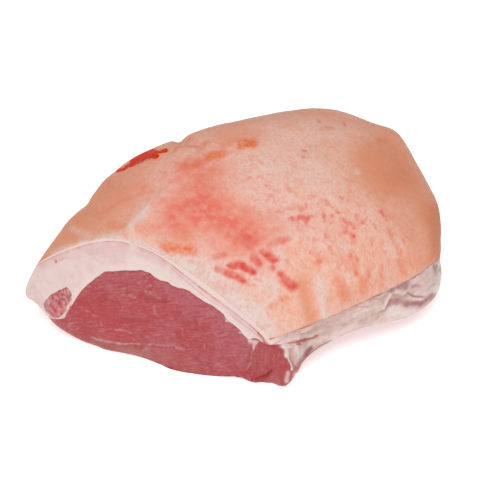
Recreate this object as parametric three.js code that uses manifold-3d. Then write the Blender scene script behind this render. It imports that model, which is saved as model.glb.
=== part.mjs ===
// Pork silverside: a raw, boneless leg joint with its rind on, cut square across at the front.
// Millimetres. X runs along the cut face, Y from the cut face to the back, Z up.
// The origin is the middle of the underside.
import * as THREE from "three";
import { mergeVertices } from "three/addons/utils/BufferGeometryUtils.js";
import Module from "manifold-3d";

// Edge of the rind: its four corners, how far each side bows out between them, how far along the
// sides the two back corners are rounded, and over what stretch this fades in behind the front
const FRONT_LEFT = new THREE.Vector3(-98, -97.5, 42);
const FRONT_RIGHT = new THREE.Vector3(50, -83.5, 34);
const BACK_RIGHT = new THREE.Vector3(117, 27.5, 43);
const BACK_LEFT = new THREE.Vector3(-81, 44, 33);
const BOW_FRONT = 1.5;
const BOW_RIGHT = 5;
const BOW_BACK = 74;
const BOW_LEFT = 11;
const CORNER_ROUNDING = 0.3;
const ROUNDING_FADE = 0.5;

// Peak of the rind's front edge, above the line between its two corners
const PEAK_HEIGHT = 35;
const PEAK_AT = 0.41;
const PEAK_ROUNDNESS = 1.13;
const PEAK_SOFTNESS = 0.3;
const CUT_SLOPE = 0.17;

// Dome of the rind above its edge, and of the lean below the fat above the lean's edge
const DOME_HEIGHT = 47;
const LEAN_DOME_HEIGHT = 55;
const LEAN_DOME_INSET = 0.06;
const DOME_ACROSS = 0.58;
const DOME_ALONG = 0.59;
const ROUNDNESS_ACROSS = 1.95;
const ROUNDNESS_BACK = 2.9;

// Swellings and dents of the rind: place across and along, half widths, height
const SWELLINGS = [
  { across: 0.42, along: 0.63, wide: 0.16, long: 0.13, height: 2.5 },
  { across: 0.2, along: 0.4, wide: 0.12, long: 0.14, height: 1 },
  { across: 0.86, along: 0.8, wide: 0.1, long: 0.12, height: -5 },
  { across: 0.3, along: 0.74, wide: 0.1, long: 0.12, height: -2.5 },
  { across: 0.44, along: 0.88, wide: 0.14, long: 0.1, height: 3 },
  { across: 0.8, along: 0.92, wide: 0.14, long: 0.08, height: -4.5 },
  { across: 0.09, along: 0.5, wide: 0.06, long: 0.12, height: 3 },
  { across: 0.67, along: 0.93, wide: 0.06, long: 0.06, height: 6 },
];

// Sides below the rind, at stations round its edge: the front runs from 0 to 1, the right from
// 1 to 2, the back from 2 to 3 and the left from 3 to 4. Each has the height of the foot, how far
// the foot leans out, the belly of the side, how far it rolls under and the height of the lean.
const SIDES = [
  { at: 0.0, foot: 10, lean: -15, belly: 16, roll: 3, meat: 14.5 },
  { at: 0.12, foot: 3, lean: 9.5, belly: 10.5, roll: 5, meat: 15 },
  { at: 0.2, foot: 0, lean: 14.5, belly: 7.5, roll: 3.5, meat: 33 },
  { at: 0.31, foot: 0, lean: 17, belly: 5.5, roll: 3, meat: 50.5 },
  { at: 0.46, foot: 0, lean: 16.5, belly: 4.5, roll: 4, meat: 56.5 },
  { at: 0.63, foot: 0, lean: 15, belly: 2.5, roll: 0, meat: 51 },
  { at: 0.8, foot: 0, lean: 10.5, belly: 1.5, roll: 1.5, meat: 40.5 },
  { at: 0.88, foot: 2, lean: 6, belly: -1, roll: 0.5, meat: 33.5 },
  { at: 0.94, foot: 0, lean: 4, belly: -3, roll: 0, meat: 29.5 },
  { at: 1.0, foot: 0, lean: 0.5, belly: 0, roll: 1, meat: 28.5 },
  { at: 1.06, foot: 0, lean: 8, belly: 3.5, roll: 4.5, meat: 28 },
  { at: 1.12, foot: 4, lean: 4, belly: 2, roll: 4.5, meat: 25 },
  { at: 1.22, foot: 12.5, lean: -2.5, belly: -3.5, roll: -1.5, meat: 16.5 },
  { at: 1.36, foot: 14, lean: -3.5, belly: 0, roll: 1, meat: 16.5 },
  { at: 1.5, foot: 14, lean: -3.5, belly: 3, roll: 3, meat: 17 },
  { at: 1.62, foot: 12, lean: -1.5, belly: 3.5, roll: 2.7, meat: 22 },
  { at: 1.75, foot: 11, lean: 0, belly: 4, roll: 2.5, meat: 25 },
  { at: 1.95, foot: 10, lean: -2.5, belly: 5.5, roll: 1, meat: 23 },
  { at: 2.4, foot: 6, lean: -4.5, belly: 2.5, roll: 9, meat: 14 },
  { at: 3.0, foot: 2, lean: -9.5, belly: 9, roll: 8, meat: 12 },
  { at: 3.55, foot: 4.5, lean: -6, belly: 8.5, roll: 10, meat: 12 },
  { at: 3.85, foot: 6, lean: -8, belly: 10, roll: 7, meat: 12.5 },
];
const SIDE_STEEPNESS = 1.8;
const ROLL_SHARPNESS = 5;

// The flat of the underside starts this share of the width in from the foot
const FLAT_INSET = 0.18;

// Two small muscles as spindles: the one in the fat at the left corner, and the tail on the right
const CORNER_MUSCLE = { centre: [-79, -104.5, 27], radii: [12.5, 36, 6.8], tilt: 42, swing: 0 };
const TAIL_MUSCLE = { centre: [62, -80, 2], radii: [25, 60, 40], tilt: 0, swing: -12 };

// Clearance between neighbouring pieces, and the distance within which a spindle's seam is welded
const GAP = 0.3;
const WELD = 1e-4;

// Cells of each layer's grid along a side, and rows of the bands round the edge
const CELLS = 30;
const FAT_ROWS = 5;
const LEAN_ROWS = 6;
const EDGE_CROWDING = 0.7;
const SPINDLE_SEGMENTS = 24;

// Samples on either side of a place over which the edge and its direction are evened out, and how
// far their weights fall
const EVENING_SAMPLES = 12;
const EVENING_FALL = 0.98;
const DIRECTION_REACH = 0.2;
const DIRECTION_STEP = 0.01;

const { lerp, smoothstep, clamp, degToRad, euclideanModulo } = THREE.MathUtils;
const wasm = await Module();
wasm.setup();

// A rounded peak over 0 to 1: 1 at the place of the peak, 0 at both ends
function hump(t, at, roundness, softness = 0) {
  const far = t < at ? (at - t) / at : (t - at) / (1 - at);
  const reach = (Math.hypot(far, softness) - softness) / (Math.hypot(1, softness) - softness);
  return (1 - clamp(reach, 0, 1) ** roundness) ** (1 / roundness);
}

// Rises gently from the front and falls round the back
function swellAlong(v) {
  if (v < DOME_ALONG) return Math.sin((Math.PI / 2) * (v / DOME_ALONG));
  const reach = (v - DOME_ALONG) / (1 - DOME_ALONG);
  return (1 - clamp(reach, 0, 1) ** ROUNDNESS_BACK) ** (1 / ROUNDNESS_BACK);
}

// A smooth curve through one size of the stations, closed round the edge
function sideSize(name, s) {
  const count = SIDES.length;
  const round = euclideanModulo(s, 4);
  let index = count - 1;
  while (SIDES[index].at > round) index -= 1;
  const place = (i) => SIDES[euclideanModulo(i, count)].at + 4 * Math.floor(i / count);
  const size = (i) => SIDES[euclideanModulo(i, count)][name];
  const slope = (i) => (size(i + 1) - size(i - 1)) / (place(i + 1) - place(i - 1));
  const span = place(index + 1) - place(index);
  const t = (round - place(index)) / span;
  const rise = size(index + 1) - size(index);
  const ease = t * t * (3 - 2 * t);
  const lift = t * (1 - t) * (1 - t) * slope(index) - t * t * (1 - t) * slope(index + 1);
  return size(index) + rise * ease + lift * span;
}

// A point on one side of the rind's edge
function sidePoint(from, to, bow, t) {
  const outward = new THREE.Vector3(to.y - from.y, from.x - to.x, 0).normalize();
  return from.clone().lerp(to, t).addScaledVector(outward, bow * 4 * t * (1 - t));
}

// The four bowed sides of the rind, with sharp corners
function bowedEdge(s) {
  const round = euclideanModulo(s, 4);
  if (round <= 1) return sidePoint(FRONT_LEFT, FRONT_RIGHT, BOW_FRONT, round);
  if (round <= 2) return sidePoint(FRONT_RIGHT, BACK_RIGHT, BOW_RIGHT, round - 1);
  if (round <= 3) return sidePoint(BACK_RIGHT, BACK_LEFT, BOW_BACK, round - 2);
  return sidePoint(BACK_LEFT, FRONT_LEFT, BOW_LEFT, round - 3);
}

// The weighted mean of a vector over places on either side of one place
function evenedOut(vectorAt, s, reach) {
  const sum = new THREE.Vector3();
  let total = 0;
  for (let i = -EVENING_SAMPLES; i <= EVENING_SAMPLES; i += 1) {
    const share = i / EVENING_SAMPLES;
    const weight = Math.cos((share * EVENING_FALL * Math.PI) / 2);
    sum.addScaledVector(vectorAt(s + share * reach), weight);
    total += weight;
  }
  return sum.divideScalar(total);
}

// Keeps what a function of the place round the edge has worked out
function remembered(work) {
  const known = new Map();
  return (s) => {
    if (!known.has(s)) known.set(s, work(s));
    return known.get(s);
  };
}

// The edge of the rind: rounded at the back corners, peaked along the cut
const rindEdge = remembered((s) => {
  const round = euclideanModulo(s, 4);
  const fromFront = Math.min(round - 1, 4 - round);
  const point = evenedOut(bowedEdge, round, CORNER_ROUNDING * smoothstep(fromFront, 0, ROUNDING_FADE));
  if (round > 1) return point;
  const peak = PEAK_HEIGHT * hump(round, PEAK_AT, PEAK_ROUNDNESS, PEAK_SOFTNESS);
  return point.add(new THREE.Vector3(0, CUT_SLOPE * peak, peak));
});

// The way out of the joint at a place on its edge
function edgeNormal(s) {
  const along = rindEdge(s + DIRECTION_STEP).clone().sub(rindEdge(s - DIRECTION_STEP));
  return new THREE.Vector3(along.y, -along.x, 0).normalize();
}

// The same, evened out round the corners
const outward = remembered((s) => evenedOut(edgeNormal, s, DIRECTION_REACH).normalize());

// The height of the foot, never below the flat of the underside
function footHeight(s) {
  return Math.max(0, sideSize("foot", s));
}

// A point on the side of the joint: share 0 is the rind's edge, 1 the foot
function side(s, share) {
  const edge = rindEdge(s);
  const drop = 1 - (1 - share) ** SIDE_STEEPNESS;
  const belly = sideSize("belly", s) * Math.sin(Math.PI * share);
  const roll = sideSize("roll", s) * share ** ROLL_SHARPNESS;
  const point = edge.clone().addScaledVector(outward(s), sideSize("lean", s) * share + belly - roll);
  return point.setZ(lerp(edge.z, footHeight(s), drop));
}

// The share of the side at which it comes down to the lean, less a clearance
function meatShare(s, clearance) {
  const edge = rindEdge(s).z;
  const drop = (edge - sideSize("meat", s) + clearance) / (edge - footHeight(s));
  return 1 - (1 - drop) ** (1 / SIDE_STEEPNESS);
}

// A surface stretched inside a closed loop of four sides
function stretched(loop, u, v) {
  const point = new THREE.Vector3();
  point.addScaledVector(loop(u), 1 - v).addScaledVector(loop(3 - u), v);
  point.addScaledVector(loop(4 - v), 1 - u).addScaledVector(loop(1 + v), u);
  point.addScaledVector(loop(0), -(1 - u) * (1 - v)).addScaledVector(loop(1), -u * (1 - v));
  return point.addScaledVector(loop(3), -(1 - u) * v).addScaledVector(loop(2), -u * v);
}

// The share of the dome's height, with its sides and back drawn in by an inset
function dome(u, v, inset = 0) {
  const across = clamp((u - inset) / (1 - 2 * inset), 0, 1);
  return hump(across, DOME_ACROSS, ROUNDNESS_ACROSS) * swellAlong(v / (1 - inset));
}

function rind(u, v) {
  const point = stretched(rindEdge, u, v);
  point.z += DOME_HEIGHT * dome(u, v);
  for (const { across, along, wide, long, height } of SWELLINGS) {
    point.z += height * Math.exp(-(((u - across) / wide) ** 2) - ((v - along) / long) ** 2);
  }
  return point;
}

const fatFoot = remembered((s) => side(s, meatShare(s, 0)));
const leanEdge = remembered((s) => side(s, meatShare(s, GAP)));
const foot = remembered((s) => side(s, 1));

function leanTop(loop, u, v) {
  const point = stretched(loop, u, v);
  point.z += LEAN_DOME_HEIGHT * dome(u, v, LEAN_DOME_INSET);
  return point;
}

function underside(u, v) {
  const point = stretched(foot, u, v);
  const inset = Math.min(u, 1 - u, v, 1 - v);
  return point.setZ(Math.max(0, point.z) * (1 - smoothstep(inset, 0, FLAT_INSET)));
}

// Grid places over 0 to 1, closer together towards the edges
function gridPlace(i) {
  const even = i / CELLS;
  return lerp(even, (1 - Math.cos(Math.PI * even)) / 2, EDGE_CROWDING);
}

// The column and row of a grid point on the edge, counted round the four sides
function edgeCell(k) {
  const step = k % CELLS;
  const corners = [[step, 0], [CELLS, step], [CELLS - step, CELLS], [0, CELLS - step]];
  return corners[Math.floor(k / CELLS) % 4];
}

// The place round the edge of such a point
function edgePlace(k) {
  const sideIndex = Math.floor(k / CELLS);
  const step = k % CELLS;
  return sideIndex < 2 ? sideIndex + gridPlace(step) : sideIndex + 1 - gridPlace(CELLS - step);
}

// A closed body from an upper layer, a lower layer and the band of rows that joins their edges
function layeredBody(upper, lower, band, rows) {
  const points = [];
  const triangles = [];
  const addCell = (a, b, c, d) => triangles.push(a, b, c, a, c, d);
  const across = CELLS + 1;
  const around = 4 * CELLS;
  const lowerStart = across * across;
  const bandStart = 2 * lowerStart;
  for (const layer of [upper, lower]) {
    for (let j = 0; j < across; j += 1) {
      for (let i = 0; i < across; i += 1) points.push(layer(gridPlace(i), gridPlace(j)));
    }
  }
  for (let row = 1; row < rows; row += 1) {
    for (let k = 0; k < around; k += 1) points.push(band(edgePlace(k), row / rows));
  }
  for (let j = 0; j < CELLS; j += 1) {
    for (let i = 0; i < CELLS; i += 1) {
      const first = j * across + i;
      addCell(first, first + 1, first + across + 1, first + across);
      const below = lowerStart + first;
      addCell(below, below + across, below + across + 1, below + 1);
    }
  }
  const bandPoint = (k, row) => {
    const [i, j] = edgeCell(k % around);
    if (row === 0) return j * across + i;
    if (row === rows) return lowerStart + j * across + i;
    return bandStart + (row - 1) * around + (k % around);
  };
  for (let k = 0; k < around; k += 1) {
    for (let row = 0; row < rows; row += 1) {
      addCell(bandPoint(k, row), bandPoint(k, row + 1), bandPoint(k + 1, row + 1), bandPoint(k + 1, row));
    }
  }
  const body = new THREE.BufferGeometry().setFromPoints(points);
  return body.setIndex(triangles);
}

// An ellipsoid, tilted about Y and then swung about Z, grown by a clearance
function spindle({ centre, radii, tilt, swing }, clearance) {
  const body = new THREE.SphereGeometry(1, SPINDLE_SEGMENTS, SPINDLE_SEGMENTS / 2);
  body.deleteAttribute("normal");
  body.deleteAttribute("uv");
  body.scale(...radii.map((radius) => radius + clearance));
  body.rotateY(-degToRad(tilt));
  body.rotateZ(degToRad(swing));
  body.translate(...centre);
  return mergeVertices(body, WELD);
}

function toSolid(geometry) {
  const vertProperties = new Float32Array(geometry.attributes.position.array);
  const triVerts = new Uint32Array(geometry.index.array);
  return new wasm.Manifold(new wasm.Mesh({ numProp: 3, vertProperties, triVerts }));
}

function toGeometry(solid) {
  const { vertProperties, triVerts } = solid.getMesh();
  const geometry = new THREE.BufferGeometry();
  geometry.setAttribute("position", new THREE.BufferAttribute(vertProperties, 3));
  geometry.setIndex(new THREE.BufferAttribute(triVerts, 1));
  return geometry;
}

function makeWhole() {
  return toSolid(layeredBody(rind, underside, side, FAT_ROWS + LEAN_ROWS));
}

// The fat with the rind as its outer skin
function makeFat() {
  const band = (s, t) => side(s, t * meatShare(s, 0));
  return toSolid(layeredBody(rind, (u, v) => leanTop(fatFoot, u, v), band, FAT_ROWS));
}

// The lean under the fat, down to the flat underside
function makeLean() {
  const band = (s, t) => side(s, lerp(meatShare(s, GAP), 1, t));
  return toSolid(layeredBody((u, v) => leanTop(leanEdge, u, v), underside, band, LEAN_ROWS));
}

function makePiece(name, solid, color, roughness) {
  const material = new THREE.MeshStandardMaterial({ color, roughness, metalness: 0 });
  const mesh = new THREE.Mesh(toGeometry(solid), material);
  mesh.name = name;
  return mesh;
}

const cornerTool = toSolid(spindle(CORNER_MUSCLE, 0));
const cornerRoom = toSolid(spindle(CORNER_MUSCLE, GAP));
const tailTool = toSolid(spindle(TAIL_MUSCLE, 0));
const tailRoom = toSolid(spindle(TAIL_MUSCLE, GAP));
const wholeLean = makeLean();
const fat = makeFat().subtract(cornerRoom);
const mainLean = wholeLean.subtract(cornerRoom).subtract(tailRoom);
const cornerLean = makeWhole().intersect(cornerTool);
const tailLean = wholeLean.intersect(tailTool);

const joint = new THREE.Group();
joint.add(makePiece("fat_cap", fat, "#ecc4b0", 0.5));
joint.add(makePiece("lean_main", mainLean, "#b85a63", 0.45));
joint.add(makePiece("lean_corner", cornerLean, "#b9666a", 0.5));
joint.add(makePiece("lean_tail", tailLean, "#bf666b", 0.45));

// The middle of the underside goes to the origin
const box = new THREE.Box3().setFromObject(joint);
const centre = box.getCenter(new THREE.Vector3());
joint.position.set(-centre.x, -centre.y, -box.min.z);

export default joint;
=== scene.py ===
import itertools

import bpy
import numpy as np
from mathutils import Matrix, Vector


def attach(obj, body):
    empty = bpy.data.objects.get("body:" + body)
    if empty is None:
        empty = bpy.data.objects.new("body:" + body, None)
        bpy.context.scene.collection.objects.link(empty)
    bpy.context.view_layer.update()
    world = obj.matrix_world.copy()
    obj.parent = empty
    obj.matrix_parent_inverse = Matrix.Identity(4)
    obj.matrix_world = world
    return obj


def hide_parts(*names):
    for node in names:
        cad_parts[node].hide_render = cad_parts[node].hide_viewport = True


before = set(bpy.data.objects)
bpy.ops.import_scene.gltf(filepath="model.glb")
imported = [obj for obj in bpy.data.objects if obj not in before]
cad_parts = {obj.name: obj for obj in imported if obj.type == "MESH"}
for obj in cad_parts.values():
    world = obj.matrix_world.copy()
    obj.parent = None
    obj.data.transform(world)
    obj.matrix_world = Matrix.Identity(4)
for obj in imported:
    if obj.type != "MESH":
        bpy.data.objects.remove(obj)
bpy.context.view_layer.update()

# The form is worked out in millimetres, in the part's own directions, and then moved so that the
# middle of its underside is at the origin
MM = 0.001
MIDDLE = np.array((2.26, -1.77, 0.0))

# Edge of the rind: corners from the front left on, how far each side bows out, rounding at the back
CORNERS = np.array([(-98, -97.5, 42), (50, -83.5, 34), (117, 27.5, 43), (-81, 44, 33)])
BOWS = np.array([1.5, 5, 74, 11])
CORNER_ROUNDING = 0.3
ROUNDING_FADE = 0.5

# Peak of the rind's front edge
PEAK_HEIGHT = 35
PEAK_AT = 0.41
PEAK_ROUNDNESS = 1.13
PEAK_SOFTNESS = 0.3
CUT_SLOPE = 0.17

# Dome of the rind, and of the lean below the fat
DOME_HEIGHT = 47
LEAN_DOME_HEIGHT = 55
LEAN_DOME_INSET = 0.06
DOME_ACROSS = 0.58
DOME_ALONG = 0.59
ROUNDNESS_ACROSS = 1.95
ROUNDNESS_BACK = 2.9

# Swellings and dents of the rind: place across and along, half widths, height
SWELLINGS = [
    (0.42, 0.63, 0.16, 0.13, 2.5),
    (0.2, 0.4, 0.12, 0.14, 1),
    (0.86, 0.8, 0.1, 0.12, -5),
    (0.3, 0.74, 0.1, 0.12, -2.5),
    (0.44, 0.88, 0.14, 0.1, 3),
    (0.8, 0.92, 0.14, 0.08, -4.5),
    (0.09, 0.5, 0.06, 0.12, 3),
    (0.67, 0.93, 0.06, 0.06, 6),
]

# Sides below the rind, at stations round its edge: the front runs from 0 to 1, the right from 1 to
# 2, the back from 2 to 3 and the left from 3 to 4
SIDE_NAMES = ("at", "foot", "lean", "belly", "roll", "meat")
SIDES = np.array([
    (0.0, 10, -15, 16, 3, 14.5),
    (0.12, 3, 9.5, 10.5, 5, 15),
    (0.2, 0, 14.5, 7.5, 3.5, 33),
    (0.31, 0, 17, 5.5, 3, 50.5),
    (0.46, 0, 16.5, 4.5, 4, 56.5),
    (0.63, 0, 15, 2.5, 0, 51),
    (0.8, 0, 10.5, 1.5, 1.5, 40.5),
    (0.88, 2, 6, -1, 0.5, 33.5),
    (0.94, 0, 4, -3, 0, 29.5),
    (1.0, 0, 0.5, 0, 1, 28.5),
    (1.06, 0, 8, 3.5, 4.5, 28),
    (1.12, 4, 4, 2, 4.5, 25),
    (1.22, 12.5, -2.5, -3.5, -1.5, 16.5),
    (1.36, 14, -3.5, 0, 1, 16.5),
    (1.5, 14, -3.5, 3, 3, 17),
    (1.62, 12, -1.5, 3.5, 2.7, 22),
    (1.75, 11, 0, 4, 2.5, 25),
    (1.95, 10, -2.5, 5.5, 1, 23),
    (2.4, 6, -4.5, 2.5, 9, 14),
    (3.0, 2, -9.5, 9, 8, 12),
    (3.55, 4.5, -6, 8.5, 10, 12),
    (3.85, 6, -8, 10, 7, 12.5),
])
SIDE_STEEPNESS = 1.8
ROLL_SHARPNESS = 5
FLAT_INSET = 0.18
FOOT_WIDTH = 0.5
EVENING = np.linspace(-1, 1, 25)
EVENING_WEIGHTS = np.cos(EVENING * 0.98 * np.pi / 2)
DIRECTION_REACH = 0.2
DIRECTION_STEP = 0.01

# Cells of the fine grids: across and along the rind, across and along the lean, rows of the sides,
# how much closer together they are towards the edges, and every how many the hidden grids keep one
FAT_CELLS = (268, 228)
FAT_ROWS = 26
LEAN_CELLS = (400, 80)
LEAN_ROWS = 86
CORNER_CELLS = 60
TAIL_CELLS = 90
CROWDING = 0.45
ROW_CROWDING = 1.4
COARSE = 4
HALF = 2

# Places round the edge and shares of the side at which curves are worked out, and how a place on
# the side is found from a pixel: the longest step, the step for slopes and the number of steps
SAMPLES = 8000
BORDER_SHARES = np.linspace(0, 1, 161)
FRONT_PLACES = np.linspace(-0.02, 1.2, 245)
FRONT_SHARES = np.linspace(0.01, 1, 100)
MOST_STEP = np.array((0.005, 0.01))
SLOPE_STEP = 0.001
STEPS = 2

# Camera in the photo's place: the point that it looks at, its way, distance and lens, and the
# photo's width in pixels. A surface begins to show, and shows fully, when it faces the camera by
# FACING
LOOK_AT = Vector((-1.18, -13.72, 32.46)) * MM
CAMERA_AZIMUTH = 28
CAMERA_ELEVATION = 38
CAMERA_DISTANCE = 0.845
LENS = 99.7
SENSOR = 36
PICTURE = 500
FACING = (-0.02, 0.12)

# Studio: key light, brightness of the surroundings, and the floor's reach, grey and glow
KEY_AZIMUTH = 20
KEY_ELEVATION = 61
KEY_DISTANCE = 1.5
KEY_SIZE = 0.9
KEY_WATTS = 13.4
SURROUNDINGS = 0.44
FLOOR_REACH = 6.0
FLOOR_GREY = 0.8
FLOOR_GLOW = 0.55

# Border between fat and lean on the cut, in the photo's pixels, and the places on the edge between
# which it holds
LEAN_BORDER = [
    (62, 319.5), (68, 310.5), (75.4, 300.7), (81.6, 291), (96, 278), (104, 272.7), (121.7, 271.6),
    (142.4, 271.2), (150, 273.5), (156, 279), (160, 281.5), (167.6, 282.7), (171.5, 285.7), (188, 291),
    (205, 302.6), (213, 306.4), (223.7, 315.2), (225.2, 319.6), (229.8, 323), (239.7, 330.6),
    (242.8, 335.5), (249.7, 341.3),
]
BORDER_FROM = (0.1, 0.14)
BORDER_TO = (0.9, 0.95)

# Where the cut at the front shows its layers, the rind's thickness there, and where the line under
# the rind is red
FRONT_FROM = (-0.06, 0.0)
FRONT_TO = (1.0, 1.12)
RIND_THICK = 1.4
RIND_THICKER = 2.8
THICKER_FROM = (0.5, 0.72)
RIGHT_FROM = (0.97, 1.02)
RIGHT_TO = (1.35, 1.6)

# How far the rind comes down over the back and left sides, and where this begins and ends
RIND_DROP = 11
DROP_FROM = (1.85, 1.98)
DROP_TO = (3.72, 3.95)

# Notch below the rind at the right back: place along and down the side, reaches and depth
NOTCH_AT = 2.0
NOTCH_SHARE = 0.36
NOTCH_REACH = 0.08
NOTCH_DROP = 0.17
NOTCH_DEPTH = 3.4

# Swelling of the lean at the end of the strip on the right: place, reach and height, and the least
# height of the lean's own side
SWELL_AT = 1.66
SWELL_REACH = 0.07
SWELL_HEIGHT = 3.5
LEAST_LEAN = 1.2

# Where the lower side on the right is covered with fat, and where the tail muscle is
FATTY_FROM = (1.09, 1.12)
FATTY_TO = (2.1, 2.3)
TAIL_FATTY = (1.085, 1.11)

# Hidden joints between the pieces: half the gap between fat and lean, the lip of the fat, how far
# the lean tucks in below it and where it starts, and the values of hidden faces of the fat
HALF_GAP = np.array((0, 0, 0.6))
LIP_WIDTH = 2.2
LIP_DROP = np.array((0, 0, 0.2))
TUCK_WIDTH = 2.5
TUCK_RISE = np.array((0, 0, 0.5))
LEAN_ABOVE = 1.6
LEAN_START = -1.7
HIDDEN_RIM = 30
HIDDEN_DEPTH = 3

# Softening of the cut edge, and rounding of the rind's hidden edge and of its near corner
EDGE_SHARE = 0.5
EDGE_REACH = 1.2
EDGE_TIMES = 3
ROUND_SHARE = 0.6
ROUND_CELLS = 8
ROUND_RIM = 7
ROUND_TIMES = 60
NEAR_CORNER = 1
NEAR_CORNER_SHARE = 0.6
NEAR_CORNER_REACH = 0.03

# Relief of the fat: the rind's proud cut edge and the groove under it, by depth in thicknesses of
# the rind; then the strip's depth, the rind's overhang, and how the relief fades at the borders
PROUD = 0.3
PROUD_TO = (0.85, 1.1)
GROOVE_DEPTH = 0.4
GROOVE_AT = 1.2
GROOVE_REACH = 0.2
STRIP_DEPTH = 1.2
STRIP_FROM = (0.3, 1.6)
OVERHANG = 2.4
OVERHANG_AT = 3.5
OVERHANG_REACH = 4
LIP_DEPTH = 0.15
LIP_FADE = 0.8
LEAN_FADE = 3
SIDE_FADE = 2
# Painted shade darkens the fat where its relief sinks between these depths
HOLLOW_SHADE_FROM = (0.6, 2)
RIND_LINE = 0.25
# Painted shade: sides that turn away from the camera get at least this much tan
UNSEEN_TAN_SHADE = 0.6

# Relief of the lean: its sunk rim below the fat, the heights over which fibres and foot fade, the
# fibres' slope, the depth of dark marks, and where the lower part begins
RIM_DEPTH = 0.8
RIM_TO = (-1.6, -0.2)
FIBRE_FADE = 3
FOOT_FADE = 3
FIBRE_SLOPE = 0.12
DARK_DEPTH = 0.3
# The strip's fat on the lower part is painted olive as shade
SHADED_LOW_FROM = (0.45, 1.0)

# Small muscles: how far they rise above the side, their sunk rims, thickness and rounding
CORNER_RISE = 1.5
CORNER_SUNK = 0.5
CORNER_THICK = 3
CORNER_THICKER = 12
CORNER_SHOULDER = 10
GRAIN_SHOULDER = 6
RAGGED_SHOULDER = 4
TAIL_END = 1.15
TAIL_ABOVE = 1.0
TAIL_RIMS = (0.2, 0.12, 0.035)
TAIL_RISE = 1.6
TAIL_SUNK = 0.8
TAIL_THICK = 9.0

# Outline of the corner muscle and a point inside it, and the seam left of the tail muscle, all in
# the photo's pixels
CORNER_OUTLINE = np.array([
    (43, 306), (46.5, 299), (51, 294.5), (57, 291.5), (63, 288), (67, 287), (71, 290), (73, 298.5),
    (68, 309), (60, 317.5), (53, 318.5), (46, 312),
])
CORNER_AT = np.array((58.5, 303.5))
SEAM = [(254, 344), (251.5, 351), (251, 359), (249.5, 366), (245, 371), (236, 376)]

# Layers of noise: height, size of the bumps or one size for each axis, seed
RIND_WAVES = [(0.8, 34, 1), (0.4, 15, 2), (0.09, 3.4, 5), (0.06, 1.9, 6)]
BORDER_WAVES = [(0.8, 9, 3), (0.4, 3.2, 4)]
SHOWN_WAVES = [(0.5, 9, 3)]
DROP_WAVES = [(2.5, 22, 7), (1, 8, 8)]
SIDE_WAVES = [(0.5, 15, 23)]
CUT_WAVES = [(0.12, (14, 14, 1.3), 21)]
STRIP_WAVES = [(1, 7, 22), (0.5, 3, 24)]
STRIP_LAYERS = [(0.4, (14, 14, 1.3), 25)]
FIBRE_WAVES = [(0.2, (13, 8, 1.7), 31), (0.1, (6, 5, 0.9), 32)]
LEAN_WAVES = [(0.3, 9, 33)]
CORNER_WAVES = [(0.22, 1.9, 42), (0.3, 3.8, 43)]
RAGGED_WAVES = [(0.6, 2.6, 44)]
TAIL_WAVES = [(0.2, (2.2, 2.2, 12), 51), (0.4, 9, 52)]
NOISE_SCALE = 1.6
SEED_STEP = 37

# Strokes have uneven edges: how far noise shifts them across and up, at most and as a share of the
# half width, where they fade in half widths, and how uneven their strength is
STROKE_SHIFTS = [[(1, 4, 11), (0.6, 1.7, 14)], [(1, 4, 12), (0.6, 1.7, 15)]]
STROKE_WARP = 0.6
STROKE_FADE = np.array((0.3, 1.5))
STROKE_WAVES = [(0.3, 3, 17)]
SOFT_SHIFTS = [[(1, 14, 61), (0.5, 6, 64)], [(1, 14, 62), (0.5, 6, 65)]]
SOFT_WARP = 0.4
SOFT_WARP_MOST = 3

# Marks and folds are drawn as strokes: half width in the photo's pixels, strength, or height in
# millimetres for folds, and then the points of the line, x and y in the photo's pixels
# Red bruises of the rind
RED_MARKS = [
    (4.3, 1, 231, 266, 240, 265, 247, 269), (4.1, 0.95, 245, 268, 254, 272),
    (3.8, 0.6, 217, 269, 227, 273), (4.1, 0.85, 226, 273, 236, 276, 243.5, 281),
    (4.3, 0.8, 253.5, 258.5, 259, 263.5), (3.6, 0.65, 262, 252.5, 268, 255),
    (4.6, 0.85, 267, 255, 274.5, 260), (2.9, 0.65, 272.5, 267, 274, 269), (4.3, 0.85, 281, 274, 283, 278),
    (5.5, 0.85, 285, 281, 293.5, 286.5), (4.1, 0.55, 281, 240, 284, 241),
    (2.4, 0.5, 287.5, 238, 288, 240), (4.2, 0.3, 270, 246, 276, 243, 282, 240),
    (3.6, 0.5, 215, 256.5, 224, 255), (6, 0.4, 246, 238, 250, 244), (2.4, 0.35, 286.5, 260, 288, 264),
    (1.4, 0.35, 255, 279, 262, 281), (1.4, 0.25, 249, 285, 257, 285), (1.8, 0.55, 292, 217, 293, 220),
    (3.2, 0.75, 300, 217, 307, 218.5), (2, 0.6, 305, 219, 306, 224), (1.8, 0.6, 308, 216.5, 312.5, 215),
    (1.8, 0.3, 281, 213, 285, 208, 296, 208), (1.6, 0.7, 303, 156.5, 304, 157.5),
    (1.3, 0.6, 303, 150, 306, 150.5), (2, 0.5, 323, 215, 325, 220), (1.4, 0.45, 331, 215, 332, 216.5),
    (2, 0.5, 337, 211, 339, 213), (2.3, 0.4, 326, 200, 328.5, 204), (1.8, 0.4, 339.5, 197, 341.5, 199),
    (2, 0.5, 343, 218, 347, 223, 350, 223), (2, 0.5, 353, 225, 354.5, 228),
    (1.7, 0.7, 353, 235.5, 354.5, 237), (1.8, 0.4, 356, 215, 357, 219), (1.8, 0.4, 362, 221, 363, 224),
    (2.4, 0.3, 343, 232, 350, 233), (2, 0.5, 381, 211, 383.5, 216), (1.4, 0.4, 386, 217, 386.5, 220),
    (1.9, 0.45, 317, 261, 320, 260.5), (1.8, 0.25, 326, 233, 327, 237), (2, 0.45, 356, 257, 357, 260),
    (1.8, 0.45, 355.5, 271, 356, 275), (2.2, 0.3, 367, 269, 368, 277), (1.4, 0.3, 371, 239, 371.5, 246),
    (2, 0.3, 321, 128.5, 332, 128), (1.4, 0.4, 318.5, 120, 320, 122), (1.3, 0.4, 344, 123.5, 345, 126),
    (2.2, 0.25, 190, 166, 197, 164), (1.5, 0.25, 187, 138, 192, 137),
]

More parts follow.
